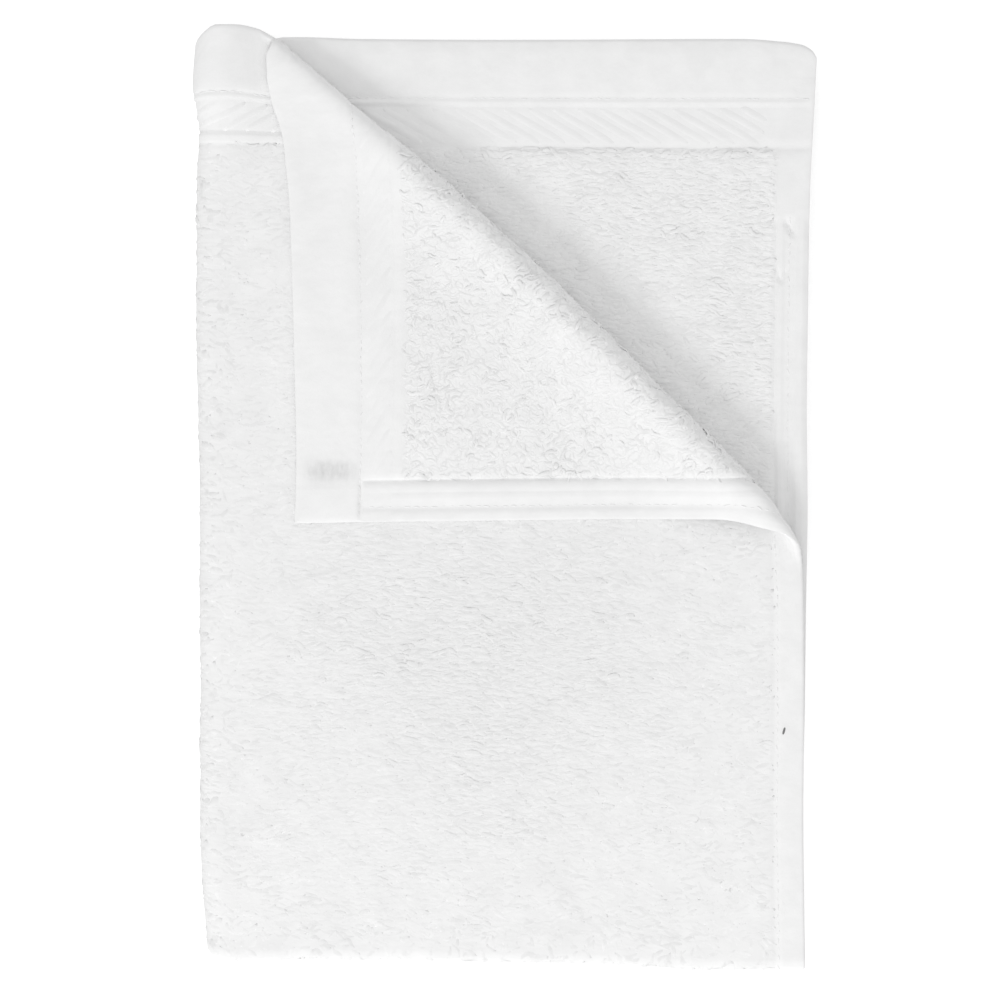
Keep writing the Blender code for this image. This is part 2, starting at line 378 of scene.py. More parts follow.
def fold_crosswise(across, along):
    """The fold at the bottom of the folded towel."""
    angle = np.clip(along - LEAF, 0, CROSS_ARC) / CROSS_RADIUS
    straight = np.maximum(LEAF - along, 0) + np.maximum(along - LEAF - CROSS_ARC, 0)
    up = DOUBLE_HALF - CROSS_RADIUS * np.maximum(np.sin(angle), 0) ** CROSS_SQUARENESS + straight
    over = CROSS_RADIUS * np.cos(angle)
    left = FOLDED_WIDTH - across
    jut = ROLL_JUT * hump(left, ROLL_MIDDLE, ROLL_REACH) * np.clip(1 - along / ROLL_LENGTH, 0, 1)
    return left + angle / math.pi * curve(up, FLARE), up + jut, over


def crease_line():
    """The crease's start, its length, and the directions along it and out over the free corner."""
    start = np.array(CREASE_START)
    run = np.array(CREASE_END) - start
    length = np.hypot(*run)
    run = run / length
    return start, length, run, np.array((-run[1], run[0]))


def beyond_crease(left, up):
    """Distance out from the crease's line, over the free corner."""
    start, _, _, away = crease_line()
    return (left - start[0]) * away[0] + (up - start[1]) * away[1]


def turn_corner(left, up, over):
    """The slanting crease of the front leaf."""
    start, length, run, away = crease_line()
    down = (left - start[0]) * run[0] + (up - start[1]) * run[1]
    beyond = beyond_crease(left, up)
    share = np.clip(down / length, 0, 1)
    bow = curve(share, CREASE, 1)
    radius = curve(share, CREASE, 2)
    dip, taken = loop_sizes(radius, CREASE_SETTLE, FLAP_RISE)
    begin = bow - taken / 2
    out, high, heading = loop(beyond - begin, radius, CREASE_SETTLE, dip)
    reach = out + begin
    settled = np.clip(2 * heading / math.pi - 1, 0, 1)
    back = np.maximum(bow - reach, 0) * settled
    slid = down - FLAP_SLANT * back
    reach = reach - FLAP_DRAW * back
    turned = (beyond > begin) & (over > 0)
    new_left = start[0] + slid * run[0] + reach * away[0]
    new_up = start[1] + slid * run[1] + reach * away[1]
    from_end = np.maximum(TOP - up, 0)
    high = high - curve(np.minimum(FOLDED_WIDTH - left, from_end), FLAP_SAG) * settled
    pull = smooth(new_up, *FLAP_PULL_HEIGHTS) * (1 - smooth(from_end, 0, FLAP_PULL_DEPTH)) * settled
    new_left = new_left - FLAP_PULL * pull
    return np.where(turned, new_left, left), np.where(turned, new_up, up), over + np.where(turned, high, 0)


def fold_lengthwise(left, up, over):
    """The fold at the left of the folded towel."""
    radius = curve(up, ROLL, 1)
    begin = curve(up, ROLL, 2)
    dip, taken = loop_sizes(radius, SIDE_SETTLE, SIDE_RISE)
    out, high, heading = loop(left - begin + taken, radius, SIDE_SETTLE, dip)
    return begin - out - over * np.sin(heading), DOUBLE_HALF + high - over * np.cos(heading)


def settle_edges(x, y, z):
    """The uneven edges of the folded towel and the slow swells of its upper leaves."""
    share = np.clip(x / FOLDED_WIDTH, 0, 1)
    moved = curve(y, SIDES, 1) * (1 - share) + curve(y, SIDES, 2) * share
    lifted = curve(x, BOTTOM) * np.clip(1 - y / TOP, 0, 1)
    lifted = lifted + curve(x, TOP_EDGE) * smooth(y, TOP - TOP_DEPTH, TOP)
    swell_across = np.sin(2 * math.pi * x / SWELL_LENGTHS[0] + SWELL_START)
    swell_up = np.sin(2 * math.pi * y / SWELL_LENGTHS[1])
    level = np.clip((z - TERRY / 2) / (3 * PITCH), 0, 1)
    return x + moved, y + lifted, z + SWELL * level * (1 + swell_across * swell_up) / 2


def middle(across, along):
    """Where the middle of the cloth lies once the towel is folded."""
    left, up, over = fold_crosswise(across, along)
    left, up, over = turn_corner(left, up, over)
    x, z = fold_lengthwise(left, up, over)
    return np.stack(settle_edges(x, up, z), axis=-1) + HOME


def facing(across, along):
    """The direction that the cloth's front face looks in."""
    by_width = middle(across + SMALL_STEP, along) - middle(across - SMALL_STEP, along)
    by_length = middle(across, along + SMALL_STEP) - middle(across, along - SMALL_STEP)
    normal = np.cross(by_width, by_length)
    return normal / np.linalg.norm(normal, axis=-1, keepdims=True)


def lay(across, along, above):
    """Where a place of the flat towel comes to lie. Above is counted out of the front face."""
    place = middle(across, along) + facing(across, along) * above[..., None]
    place[..., 2] = np.maximum(place[..., 2], FLOOR_CLEAR)
    return place


def lumps(across, along, size, seed):
    """Smooth random lumps from -1 to 1, about size apart."""
    corners = np.random.default_rng(seed).uniform(-1, 1, (int(WIDTH / size) + 4, int(LENGTH / size) + 4))
    u = np.clip(across / size + 1, 0, corners.shape[0] - 1.001)
    v = np.clip(along / size + 1, 0, corners.shape[1] - 1.001)
    i = u.astype(int)
    j = v.astype(int)
    s = smooth(u - i, 0, 1)
    t = smooth(v - j, 0, 1)
    near = corners[i, j] * (1 - s) + corners[i + 1, j] * s
    far = corners[i, j + 1] * (1 - s) + corners[i + 1, j + 1] * s
    return near * (1 - t) + far * t


def edge_distances(across, along):
    """Distances to the nearest side edge and the nearest end edge."""
    return np.minimum(across, WIDTH - across), np.minimum(along, LENGTH - along)


def by_leaf(along, face, front, turned, far):
    """The front face's value, or on the back face the turned corner's or the far leaf's."""
    if face == FRONT:
        return front
    return np.where(along > LENGTH / 2, far, turned)


def pile_share(across, along, face):
    """0 on the hems and the bands, and 1 where the pile stands."""
    side, end = edge_distances(across, along)
    side_start = by_leaf(along, face, *SIDE_PILE_STARTS)
    end_start = by_leaf(along, face, *END_PILE_STARTS)
    from_side = smooth(side, side_start - SIDE_PILE_BEFORE, side_start + PILE_RAMP)
    return from_side * smooth(end, end_start - PILE_RAMP, end_start + PILE_RAMP)


def dent_depth(across, along, face):
    """Depth of the few small dents that the hems have."""
    depth = np.zeros(np.shape(across))
    for dented_face, middle_across, middle_along, way, length, width, deep in DENTS:
        if dented_face == face:
            turn = math.radians(way)
            run = (across - middle_across) * math.cos(turn) + (along - middle_along) * math.sin(turn)
            off = (along - middle_along) * math.cos(turn) - (across - middle_across) * math.sin(turn)
            depth = depth + deep * np.exp(-((run / length) ** 4) - (off / width) ** 2)
    return depth


def hem_height(across, along, face):
    """Height of one face over the cloth's middle, as its hems and bands give it."""
    side, end = edge_distances(across, along)
    side_hems = [curve(side, table) for table in (FRONT_SIDE_HEM, TURNED_SIDE_HEM, FAR_SIDE_HEM)]
    end_hems = [curve(end, END_HEM), curve(end * TURNED_STRETCH, TURNED_END_HEM), curve(end, FAR_END_HEM)]
    plain = curve(side, PLAIN_SIDE)
    plain_until = by_leaf(along, face, PLAIN_LENGTH, PLAIN_LENGTH / TURNED_STRETCH, FAR_PLAIN_LENGTH)
    hemmed = smooth(end, plain_until, plain_until + PLAIN_STEP)
    by_side = plain + (by_leaf(along, face, *side_hems) - plain) * hemmed
    return np.minimum(by_side, by_leaf(along, face, *end_hems) + DOUBLED * (side < DOUBLED_WIDTH))


def face_height(across, along, face):
    """Height of one face of the cloth over its middle: hems, bands, and the bed that the pile stands in."""
    terry = pile_share(across, along, face)
    soft = sum(high * lumps(across, along, apart, seed + face) for high, apart, seed in TERRY_LUMPS)
    high, apart, seed = HEM_WAVES
    waves = high * lumps(across, along, apart, seed + face)
    from_edge = np.minimum(*edge_distances(across, along))
    uneven = terry * soft + (1 - terry) * waves * smooth(from_edge, *HEM_WAVES_FADE)
    return hem_height(across, along, face) + uneven - dent_depth(across, along, face)


def cloth_lines(near, far, runs, size):
    """The cloth's mesh lines one way: those of the tables of its two edges, and those of each run."""
    near_edge = [place / stretch for table, stretch in near for place, _ in table]
    far_edge = [size - place for table in far for place, _ in table]
    edges = np.array(near_edge + far_edge).round(6)
    even = [np.linspace(start, end, round((end - start) / apart) + 1) for start, end, apart in runs]
    every = np.unique(np.concatenate([edges, *even]).round(6))
    kept = [every[0]]
    for place in every[1:]:
        apart = CLOSEST_EDGE_LINES if np.isin(place, edges) else CLOSEST_LINES
        if place - kept[-1] > apart:
            kept.append(place)
    kept[-1] = size
    return np.array(kept)


def fresh(name, points, faces):
    """A new object from points and faces."""
    mesh = bpy.data.meshes.new(name)
    mesh.from_pydata(points.tolist(), [], faces.tolist() if hasattr(faces, "tolist") else faces)
    mesh.shade_smooth()
    piece = bpy.data.objects.new(name, mesh)
    bpy.context.scene.collection.objects.link(piece)
    return piece


def weave_cloth():
    """The cloth: two faces on the same lines, joined round the edge."""
    near_sides = ((FRONT_SIDE_HEM, 1), (TURNED_SIDE_HEM, 1), (FAR_SIDE_HEM, 1))
    near_ends = ((END_HEM, 1), (TURNED_END_HEM, TURNED_STRETCH))
    across = cloth_lines(near_sides, (FRONT_SIDE_HEM,), LINES_ACROSS, WIDTH)
    along = cloth_lines(near_ends, (FAR_END_HEM,), LINES_ALONG, LENGTH)
    u, v = np.meshgrid(across, along, indexing="ij")
    faces = [np.stack([u, v, face * face_height(u, v, face)], axis=-1) for face in (FRONT, BACK)]
    points = np.concatenate(faces).reshape(-1, 3)
    number = np.arange(u.size).reshape(u.shape)
    corners = [number[:-1, :-1], number[1:, :-1], number[1:, 1:], number[:-1, 1:]]
    quads = np.stack(corners, axis=-1).reshape(-1, 4)
    ring = np.concatenate([number[:, 0], number[-1, 1:], number[-2::-1, -1], number[0, -2:0:-1]])
    after = np.roll(ring, -1)
    rim = np.stack([after, ring, ring + u.size, after + u.size], axis=-1)
    cloth = fresh("towel_cloth", points, np.concatenate([quads, quads[:, ::-1] + u.size, rim]))
    lay_out_weave(cloth)
    fold(cloth)
    return cloth


def mark(piece, name, values):
    """Gives each point of a piece a value that its material reads by name."""
    piece.data.attributes.new(name, "FLOAT", "POINT").data.foreach_set("value", values)


def lay_out_weave(cloth):
    """The cloth's own map, its place on the flat towel, and what its material reads at each point."""
    flat = coordinates(cloth)
    across, along, above = flat.T
    corners = np.zeros(len(cloth.data.loops), int)
    cloth.data.loops.foreach_get("vertex_index", corners)
    layer = cloth.data.uv_layers.new(name="flat_towel")
    layer.data.foreach_set("uv", flat[corners, :2].ravel())
    terry = np.where(above > 0, pile_share(across, along, FRONT), pile_share(across, along, BACK))
    mark(cloth, "terry", terry)
    mark(cloth, "curly", (above < 0) * smooth(LENGTH / 2 - along, 0, CURLY_FADE))
    mark(cloth, "raised", np.where(above > 0, standing(across, along, FRONT), 1))
    # where the pile was pressed least, which the materials read for their painted shade
    mark(cloth, "unpressed", np.where(above > 0, unpressed(across, along, FRONT), 0))
    # mask of the painted shade over the turned end hem's hollow
    mark(cloth, "hollow_shade", hollow_shade(across, along, above))


def hollow_shade(across, along, above):
    """Painted shade: the faint grey patch over the soft hollow in the turned corner's end hem."""
    off_across = (across - HOLLOW_SHADE_MIDDLE[0]) / HOLLOW_SHADE_REACH[0]
    off_along = (along - HOLLOW_SHADE_MIDDLE[1]) / HOLLOW_SHADE_REACH[1]
    return np.exp(-(off_across**2 + off_along**4)) * (above < 0)


def coordinates(piece):
    """All points of a mesh, one row each."""
    flat = np.zeros(len(piece.data.vertices) * 3)
    piece.data.vertices.foreach_get("co", flat)
    return flat.reshape(-1, 3)


def fold(piece):
    """Lays a piece that was made on the flat towel in its folds."""
    flat = coordinates(piece)
    piece.data.vertices.foreach_set("co", lay(*flat.T).ravel())
    piece.data.update()


def yarn_blank(name, sides, rings):
    """A straight length of yarn from x = -1 to 1, 2 thick, with closed ends."""
    bpy.ops.object.select_all(action="DESELECT")
    bpy.ops.mesh.primitive_cylinder_add(
        vertices=sides, radius=1, depth=2, end_fill_type="NGON", rotation=(0, math.pi / 2, 0)
    )
    blank = bpy.context.object
    blank.name = name
    bpy.ops.object.transform_apply(location=True, rotation=True, scale=True)
    bpy.ops.object.mode_set(mode="EDIT")
    bpy.ops.mesh.select_mode(type="EDGE")
    bpy.ops.mesh.select_all(action="DESELECT")
    bpy.ops.object.mode_set(mode="OBJECT")
    points = blank.data.vertices
    for edge in blank.data.edges:
        ends = [points[i].co.x for i in edge.vertices]
        edge.select = abs(ends[0] - ends[1]) > 1
    bpy.ops.object.mode_set(mode="EDIT")
    bpy.ops.mesh.subdivide(number_cuts=rings - 2)
    bpy.ops.object.mode_set(mode="OBJECT")
    return blank


UNDERSIDE_ANGLE = math.radians(95)  # between a yarn's rounded top and its flat underside
SHORTEST_RUN = 1e-9  # keeps the slope of a yarn defined


def lay_yarns(name, blank, paths, headings, widths, heights, face):
    """Copies of a blank, each bent along its own path on the flat towel, as one piece.

    Paths hold across, along and above for each ring of each copy. Widths and heights are half sizes of its
    section.
    """
    shape = coordinates(blank)
    rings = paths.shape[1]
    ring = np.rint((shape[:, 0] + 1) / 2 * (rings - 1)).astype(int)
    upward = shape[:, 1]
    aside = shape[:, 2] * face
    slope = np.gradient(paths[..., 2], axis=1)
    run = np.hypot(np.gradient(paths[..., 0], axis=1), np.gradient(paths[..., 1], axis=1)) + SHORTEST_RUN
    tilt = np.arctan2(slope, run)
    cos_way = np.cos(headings)
    sin_way = np.sin(headings)
    up = np.stack([-cos_way * np.sin(tilt), -sin_way * np.sin(tilt), np.cos(tilt)], axis=-1)
    out = np.stack([sin_way, -cos_way, np.zeros_like(cos_way)], axis=-1)
    points = paths[:, ring] + out[:, ring] * (aside * widths[:, ring])[..., None]
    points = points + up[:, ring] * (upward * heights[:, ring])[..., None]
    points[..., 2] = points[..., 2] * face
    count = len(paths)
    size = len(shape)
    faces = []
    for polygon in blank.data.polygons:
        corners = np.array(polygon.vertices)
        faces.extend((corners + np.arange(count)[:, None] * size).tolist())
    piece = fresh(name, points.reshape(-1, 3), faces)
    fold(piece)
    piece.data.set_sharp_from_angle(angle=UNDERSIDE_ANGLE)
    bpy.data.objects.remove(blank)
    return piece


# What the turned corner covers of the front leaf: from the left, up from the bottom, and under its height
COVERED_FROM = 0.037
COVERED_ABOVE = 0.151
COVERED_UNDER = 0.0165
CREASE_MARGIN = 0.004  # both sides may show so near to the crease's line
FRONT_GRAZING = 0.35  # how far a face at a fold may turn past upright and still get its pile
BACK_GRAZING = 0.20


def shows(across, along, face):
    """Whether a face of the cloth can be seen once the towel is folded."""
    outward = facing(across, along)[..., 2] * face
    front_leaf = along < LEAF + CROSS_ARC / 2
    upper = across < WIDTH / 2
    x, y, high = np.moveaxis(middle(across, along) - HOME, -1, 0)
    beyond = beyond_crease(x, y)
    if face == FRONT:
        behind = (x > COVERED_FROM) & (y > COVERED_ABOVE) & (beyond < -CREASE_MARGIN)
        covered = upper & behind & (high < COVERED_UNDER)
        return front_leaf & (~upper | (outward > -FRONT_GRAZING)) & ~covered
    return upper & np.where(front_leaf, outward > -BACK_GRAZING, beyond > -CREASE_MARGIN)


# The loops of pile, and how they vary
OUT_OF_PLACE = 0.5  # share of their spacing
COMBED = 0.6  # loops that spread less lie in rows, and keep off the side hems by COMBED_MARGIN
COMBED_MARGIN = 0.35  # share of their length
WAVE = 0.6  # how much loops wave and hook, as shares of how much they curl
HOOK = 0.5
STEEPEST_TURN = 0.6  # between two rings of a loop
LOOP_LENGTHS = (0.6, 1.4)  # shares of their reach
LOOP_SIZES = (0.55, 1.25)  # shares of their section
LOOP_TAPER = 0.4  # share by which their ends are thinner
LOOP_ARCH = 0.7  # 1 is a parabola, and less is flatter
CLUMPS = (0.5, 0.009, 70)  # share of their height, distance apart, seed
LIFT_SPREAD = 0.9  # how unevenly high they stand, as a power of e
LIFT_LIMITS = (-1.5, 1.6)  # of the random number in that power
FLATTEST = 0.2  # share of its thickness that a pressed loop keeps
LOOP_TOP = 0.9  # shares of its thickness, by which a loop's middle rises and its ends are sunk
LOOP_SUNK = 1.05
OFF_EDGE = 0.0005  # closest that a loop comes to the cloth's edge


def scatter(random, across, along, apart):
    """Places of loops over a stretch, in staggered rows, each a little out of place."""
    u, v = np.meshgrid(np.arange(*across, apart[0]), np.arange(*along, apart[1]))
    u = (u + (np.arange(len(u)) % 2)[:, None] * apart[0] / 2).ravel()
    v = v.ravel()
    u = u + random.uniform(-OUT_OF_PLACE, OUT_OF_PLACE, len(u)) * apart[0]
    v = v + random.uniform(-OUT_OF_PLACE, OUT_OF_PLACE, len(v)) * apart[1]
    return u, v


def pile_grows(across, along, face, margin):
    """Whether a loop stands here: off the hems and the bands, and where it can be seen."""
    side, end = edge_distances(across, along)
    off_side = side > by_leaf(along, face, *SIDE_PILE_STARTS) + margin
    off_end = end > by_leaf(along, face, *END_PILE_STARTS)
    return off_side & off_end & shows(across, along, face)


def loop_headings(share, vary, spread, curl):
    """The way that each loop runs at each of its rings."""
    bends = vary[1] * share + WAVE * vary[2] * np.cos(math.pi * share) + HOOK * vary[4] * share**3
    bends = curl * bends
    turns = np.clip(np.diff(bends, axis=1), -STEEPEST_TURN, STEEPEST_TURN)
    return spread * vary[0] + np.cumsum(np.concatenate([bends[:, :1], turns], axis=1), axis=1)


def walk(start, steps, size):
    """A path through steps, with its middle at the start, inside the cloth's edges."""
    path = np.cumsum(steps, axis=1)
    path = start[:, None] + path - path.mean(axis=1, keepdims=True)
    return np.clip(path, OFF_EDGE, size - OFF_EDGE)


def loop_heights(u, v, face, share, lift, thick):
    """Heights of each loop's rings over the cloth, and its thickness. Lift is its height unpressed."""
    stand = standing(u, v, face)[:, None]
    thick = thick * (FLATTEST + (1 - FLATTEST) * stand)
    arch = (1 - share**2) ** LOOP_ARCH
    return (lift * stand + LOOP_TOP * thick) * arch - LOOP_SUNK * thick, thick


def pile(name, face, across, along, apart, rings, reach, spread, curl, rise, width, thick, seed):
    """Loops of pile over one stretch of the cloth, as one piece.

    Across and along are the stretch, apart the spacing of the loops both ways, rings the rings of a loop's
    mesh, reach its length, spread and curl how much its way varies between loops and along a loop, rise its
    height over the cloth, and width and thick the half sizes of its section.
    """
    random = np.random.default_rng(seed)
    u, v = scatter(random, across, along, apart)
    grows = pile_grows(u, v, face, COMBED_MARGIN * reach * (spread < COMBED))
    u = u[grows]
    v = v[grows]
    count = len(u)
    share = np.linspace(-1, 1, rings)
    vary = random.standard_normal((5, count, 1))
    heading = loop_headings(share, vary, spread, curl)
    stride = reach * random.uniform(*LOOP_LENGTHS, (count, 1)) / (rings - 1)
    path_u = walk(u, np.cos(heading) * stride, WIDTH)
    path_v = walk(v, np.sin(heading) * stride, LENGTH)
    clumped, clump_size, clump_seed = CLUMPS
    clump = 1 + clumped * lumps(u, v, clump_size, seed + clump_seed)[:, None]
    lift = rise * clump * np.exp(LIFT_SPREAD * np.clip(vary[3], *LIFT_LIMITS))
    height, thick = loop_heights(u, v, face, share, lift, thick)
    paths = np.stack([path_u, path_v, face_height(path_u, path_v, face) + height], axis=-1)
    size = (1 - LOOP_TAPER * share**4) * random.uniform(*LOOP_SIZES, (count, 1))
    piece = lay_yarns(name, yarn_blank("loop", 3, rings), paths, heading, width * size, thick * size, face)
    # where the pile was pressed least, which the yarn material reads for its painted shade
    mark(piece, "unpressed", np.repeat(unpressed(u, v, face), len(piece.data.vertices) // count))
    return piece


def unpressed(across, along, face):
    """1 in the middle of the front leaf, where the pile was pressed least, falling to 0 round it."""
    off = np.hypot((across - DEEP_MIDDLE[0]) / DEEP_REACH, (along - DEEP_MIDDLE[1]) / DEEP_REACH)
    return np.exp(-(off**2)) * (face == FRONT)


# Shares of its height that the pile keeps
RIM_PILE = 0.12  # at the front leaf's rims, where it is matted
MIDDLE_PILE = 0.68  # added in the middle of the front leaf
LEAST_PILE = 0.05
PATCHES = (0.16, 0.016, 81)  # height, distance apart, seed
TUFTS = (0.60, 0.006, 83)  # beside the front side hem
TUFTS_PLACE = (0.0125, 0.0025)
FOLD_PILE = 0.25  # added on the left fold
FOLD_PILE_REACH = 0.006
CREASE_PILE = 0.8  # added round the slanting crease
CREASE_PILE_PLACE = (0.005, 0.006)


def standing(across, along, face):
    """How much of its height the pile keeps. It stands fullest round the slanting crease."""
    if face == BACK:
        beyond = beyond_crease(FOLDED_WIDTH - across, TOP - along)
        return 1 + CREASE_PILE * hump(beyond, *CREASE_PILE_PLACE) * (along < LENGTH / 2)
    tall, apart, seed = TUFTS
    tufts = tall * hump(across, *TUFTS_PLACE) * np.maximum(lumps(across, along, apart, seed), 0)
    tall, apart, seed = PATCHES
    patches = tall * lumps(across, along, apart, seed)
    on_leaf = np.maximum(RIM_PILE + MIDDLE_PILE * unpressed(across, along, face) + patches, LEAST_PILE)
    return on_leaf + FOLD_PILE * hump(across, WIDTH / 2, FOLD_PILE_REACH) + tufts


def strew_pile():
    """The pile of every stretch of the cloth that shows."""
    matted = dict(
        apart=(0.0028, 0.0018), rings=6, reach=0.0052, spread=0.30, curl=0.5,
        rise=0.00006, width=0.00080, thick=0.00015,
    )
    curly = dict(
        apart=(0.0019, 0.0018), rings=7, reach=0.0042, spread=2.0, curl=1.6,
        rise=0.00007, width=0.00060, thick=0.00017,
    )
    fluffy = dict(
        apart=(0.0032, 0.0028), rings=6, reach=0.0048, spread=1.2, curl=0.6,
        rise=0.00010, width=0.00115, thick=0.00050,
    )
    rowed = dict(
        apart=(0.0028, 0.0018), rings=6, reach=0.0052, spread=0.35, curl=0.5,
        rise=0.00005, width=0.00075, thick=0.00013,
    )
    sparse = dict(
        apart=(0.0048, 0.0046), rings=5, reach=0.0042, spread=1.0, curl=0.8,
        rise=0.00012, width=0.00050, thick=0.00022,
    )
    edge = SIDE_PILE_STARTS[0]
    top = 0.0330  # from the free end
    half_way = 0.190
    bottom = 0.291
    left_fold = (0.187, 0.214)
    bottom_folds = (bottom, 0.307)
    leaf = (edge, left_fold[0])
    underside = (left_fold[1], WIDTH - edge)
    corner = (edge, 0.190)
    uncovered = (0.400, LENGTH - END_PILE_STARTS[2])
    return [
        pile("pile_front_upper", FRONT, leaf, (top, half_way), seed=1, **matted),
        pile("pile_front_lower", FRONT, leaf, (half_way, bottom), seed=2, **matted),
        pile("pile_left_fold", FRONT, left_fold, (top, bottom), seed=3, **fluffy),
        pile("pile_bottom_folds", FRONT, (edge, WIDTH - edge), bottom_folds, seed=4, **fluffy),
        pile("pile_turned_corner", BACK, corner, (top, 0.200), seed=5, **curly),
        pile("pile_uncovered", BACK, corner, uncovered, seed=6, **rowed),
        pile("pile_underside", FRONT, underside, (top, bottom), seed=7, **sparse),
    ]


CORD_SEED = 30
CORD_PITCH = 0.0079  # from one cord to the next, across
CORD_SLANT = math.radians(29)
CORD_RINGS = 9
CORD_SHIFT = 0.0004  # how unevenly they lie
FIRST_CORD = -0.024  # where the first one starts, across
SHORTEST_CORD = 0.25  # share of a whole one
CORD_WIDTHS = (0.0021, 0.0024)  # half widths, in the near band and the far one
CORD_THICKNESSES = (0.00066, 0.00034, 0.00060)  # half ones: front, turned corner, far leaf
CORD_TAPER = 0.3  # share by which their ends are narrower
CORD_THIN_END = 0.2  # share of their thickness that their ends keep
CORD_SUNK = 0.0001  # into the face, and their ends by CORD_END_SUNK more
CORD_END_SUNK = 0.0002
BAND_START = 0.0214  # from the end edge
FRONT_BAND_END = 0.0306
FAR_BAND_END = 0.0346
BAND_SIDE = 0.0150  # the cords stop so far from the side edges


def cord_route(first, band_end):
    """Middles of a cord's rings, across and from the end edge, or nothing on a side hem."""
    run = (band_end - BAND_START) / math.tan(CORD_SLANT)
    low = max(first, BAND_SIDE)
    high = min(first + run, WIDTH - BAND_SIDE)
    if high - low < run * SHORTEST_CORD:
        return None
    across = np.linspace(low, high, CORD_RINGS)
    return across, BAND_START + (across - first) * math.tan(CORD_SLANT)


def cord_routes(random, face):
    """Middles of the rings of all cords that show on one face, across and along."""
    near_stretch = 1 if face == FRONT else TURNED_STRETCH
    far_band_end = FRONT_BAND_END if face == FRONT else FAR_BAND_END
    routes = []
    for near_end in (True, False):
        band_end = FRONT_BAND_END if near_end else far_band_end
        for first in np.arange(FIRST_CORD, WIDTH, CORD_PITCH):
            route = cord_route(first + CORD_SHIFT * random.standard_normal(), band_end)
            if route is not None:
                across, end = route
                along = end / near_stretch if near_end else LENGTH - (BAND_START + band_end - end)
                routes.append(np.stack([across, along], axis=-1))
    routes = np.array(routes)
    middles = routes[:, CORD_RINGS // 2]
    return routes[shows(middles[:, 0], middles[:, 1], face)]


def twill_cords(name, face):
    """The slanting cords of both end bands on one face."""
    random = np.random.default_rng(CORD_SEED + face)
    routes = cord_routes(random, face)
    share = np.linspace(-1, 1, CORD_RINGS)
    swell = 1 - share**4
    sunk = CORD_SUNK + CORD_END_SUNK * (1 - swell)
    above = face_height(routes[..., 0], routes[..., 1], face) - sunk
    paths = np.concatenate([routes, above[..., None]], axis=-1)
    heading = np.full(routes.shape[:2], CORD_SLANT)
    along = routes[:, :1, 1]
    width = np.where(along > LENGTH / 2, CORD_WIDTHS[1], CORD_WIDTHS[0]) * (1 - CORD_TAPER * share**4)
    thick = by_leaf(along, face, *CORD_THICKNESSES)
    height = thick * (CORD_THIN_END + (1 - CORD_THIN_END) * swell) * np.ones((len(paths), 1))
    return lay_yarns(name, yarn_blank("cord", 3, CORD_RINGS), paths, heading, width, height, face)


STITCH_SEED = 50
STITCH_PITCH = 0.0027
STITCH_HALF = 0.00105  # half the length of a stitch
STITCH_LENGTHS = (0.85, 1.1)  # shares of it
STITCH_RADIUS = 0.00019
STITCH_TAPER = 0.4  # share by which their ends are thinner
STITCH_RINGS = 5
STITCH_TURN = 0.16  # how unevenly they are sewn
STITCH_SHIFT = 0.0001  # how far they are out of place
STITCH_ARCH = 0.00012
STITCH_SUNK = 0.00008  # into the face, and by up to STITCH_SUNK_MORE more
STITCH_SUNK_MORE = 0.00014
ROW_CLEAR = 0.0015  # of an end hem's row, from the side edges
END_ROW = 0.0189  # from the end edge
SIDE_ROW_START = 0.0220  # of a side hem's row, from the end edge
# Near end hem's row, near and far side hem's rows, each from its edge, and where the far one stops
FRONT_ROWS = (END_ROW, 0.0087, 0.0087, SIDE_ROW_START)
BACK_ROWS = (0.0205 / TURNED_STRETCH, 0.0047, 0.0064, FAR_PLAIN_LENGTH)


def stitch_row(start, finish):
    """The middles of a row of stitches."""
    return np.arange(start + STITCH_PITCH / 2, finish, STITCH_PITCH)


def stitch_places(face):
    """Across, along and way of each stitch that shows on one face."""
    rows = FRONT_ROWS if face == FRONT else BACK_ROWS
    near_end, near_side, far_side, far_start = rows
    places = []
    for along in (near_end, LENGTH - END_ROW):
        places += [(across, along, 0.0) for across in stitch_row(ROW_CLEAR, WIDTH - ROW_CLEAR)]
    for near_row, far_row in ((near_side, far_side), (WIDTH - near_side, WIDTH - far_side)):
        places += [(near_row, along, math.pi / 2) for along in stitch_row(SIDE_ROW_START, LENGTH / 2)]
        places += [(far_row, along, math.pi / 2) for along in stitch_row(LENGTH / 2, LENGTH - far_start)]
    places = np.array(places)
    return places[shows(places[:, 0], places[:, 1], face)]


def hem_stitches(name, face):
    """The rows of stitches that hold the hems, as they show on one face."""
    random = np.random.default_rng(STITCH_SEED + face)
    places = stitch_places(face)
    count = len(places)
    share = np.linspace(-1, 1, STITCH_RINGS)
    turn = places[:, 2:3] + STITCH_TURN * random.standard_normal((count, 1))
    half = STITCH_HALF * random.uniform(*STITCH_LENGTHS, (count, 1))
    across = places[:, 0:1] + np.cos(turn) * half * share
    across = across + STITCH_SHIFT * random.standard_normal((count, 1))
    along = places[:, 1:2] + np.sin(turn) * half * share
    along = along + STITCH_SHIFT * random.standard_normal((count, 1))
    sunk = STITCH_SUNK + STITCH_SUNK_MORE * random.random((count, 1))
    above = face_height(across, along, face) + STITCH_ARCH * (1 - share**2) - sunk
    paths = np.stack([across, along, above], axis=-1)
    radius = STITCH_RADIUS * (1 - STITCH_TAPER * share**4) * np.ones((count, 1))
    heading = turn * np.ones((1, STITCH_RINGS))
    return lay_yarns(name, yarn_blank("stitch", 6, STITCH_RINGS), paths, heading, radius, radius, face)


FLECK_MIDDLE = (0.0066, 0.2229)
FLECK_REACH = (0.0003, 0.0011)  # half its length, across and along
FLECK_WAY = math.radians(75)
FLECK_WIDTH = 0.00040  # half ones
FLECK_THICKNESS = 0.00012
FLECK_ABOVE = 0.00004
FLECK_TAPER = 0.6
FLECK_RINGS = 7


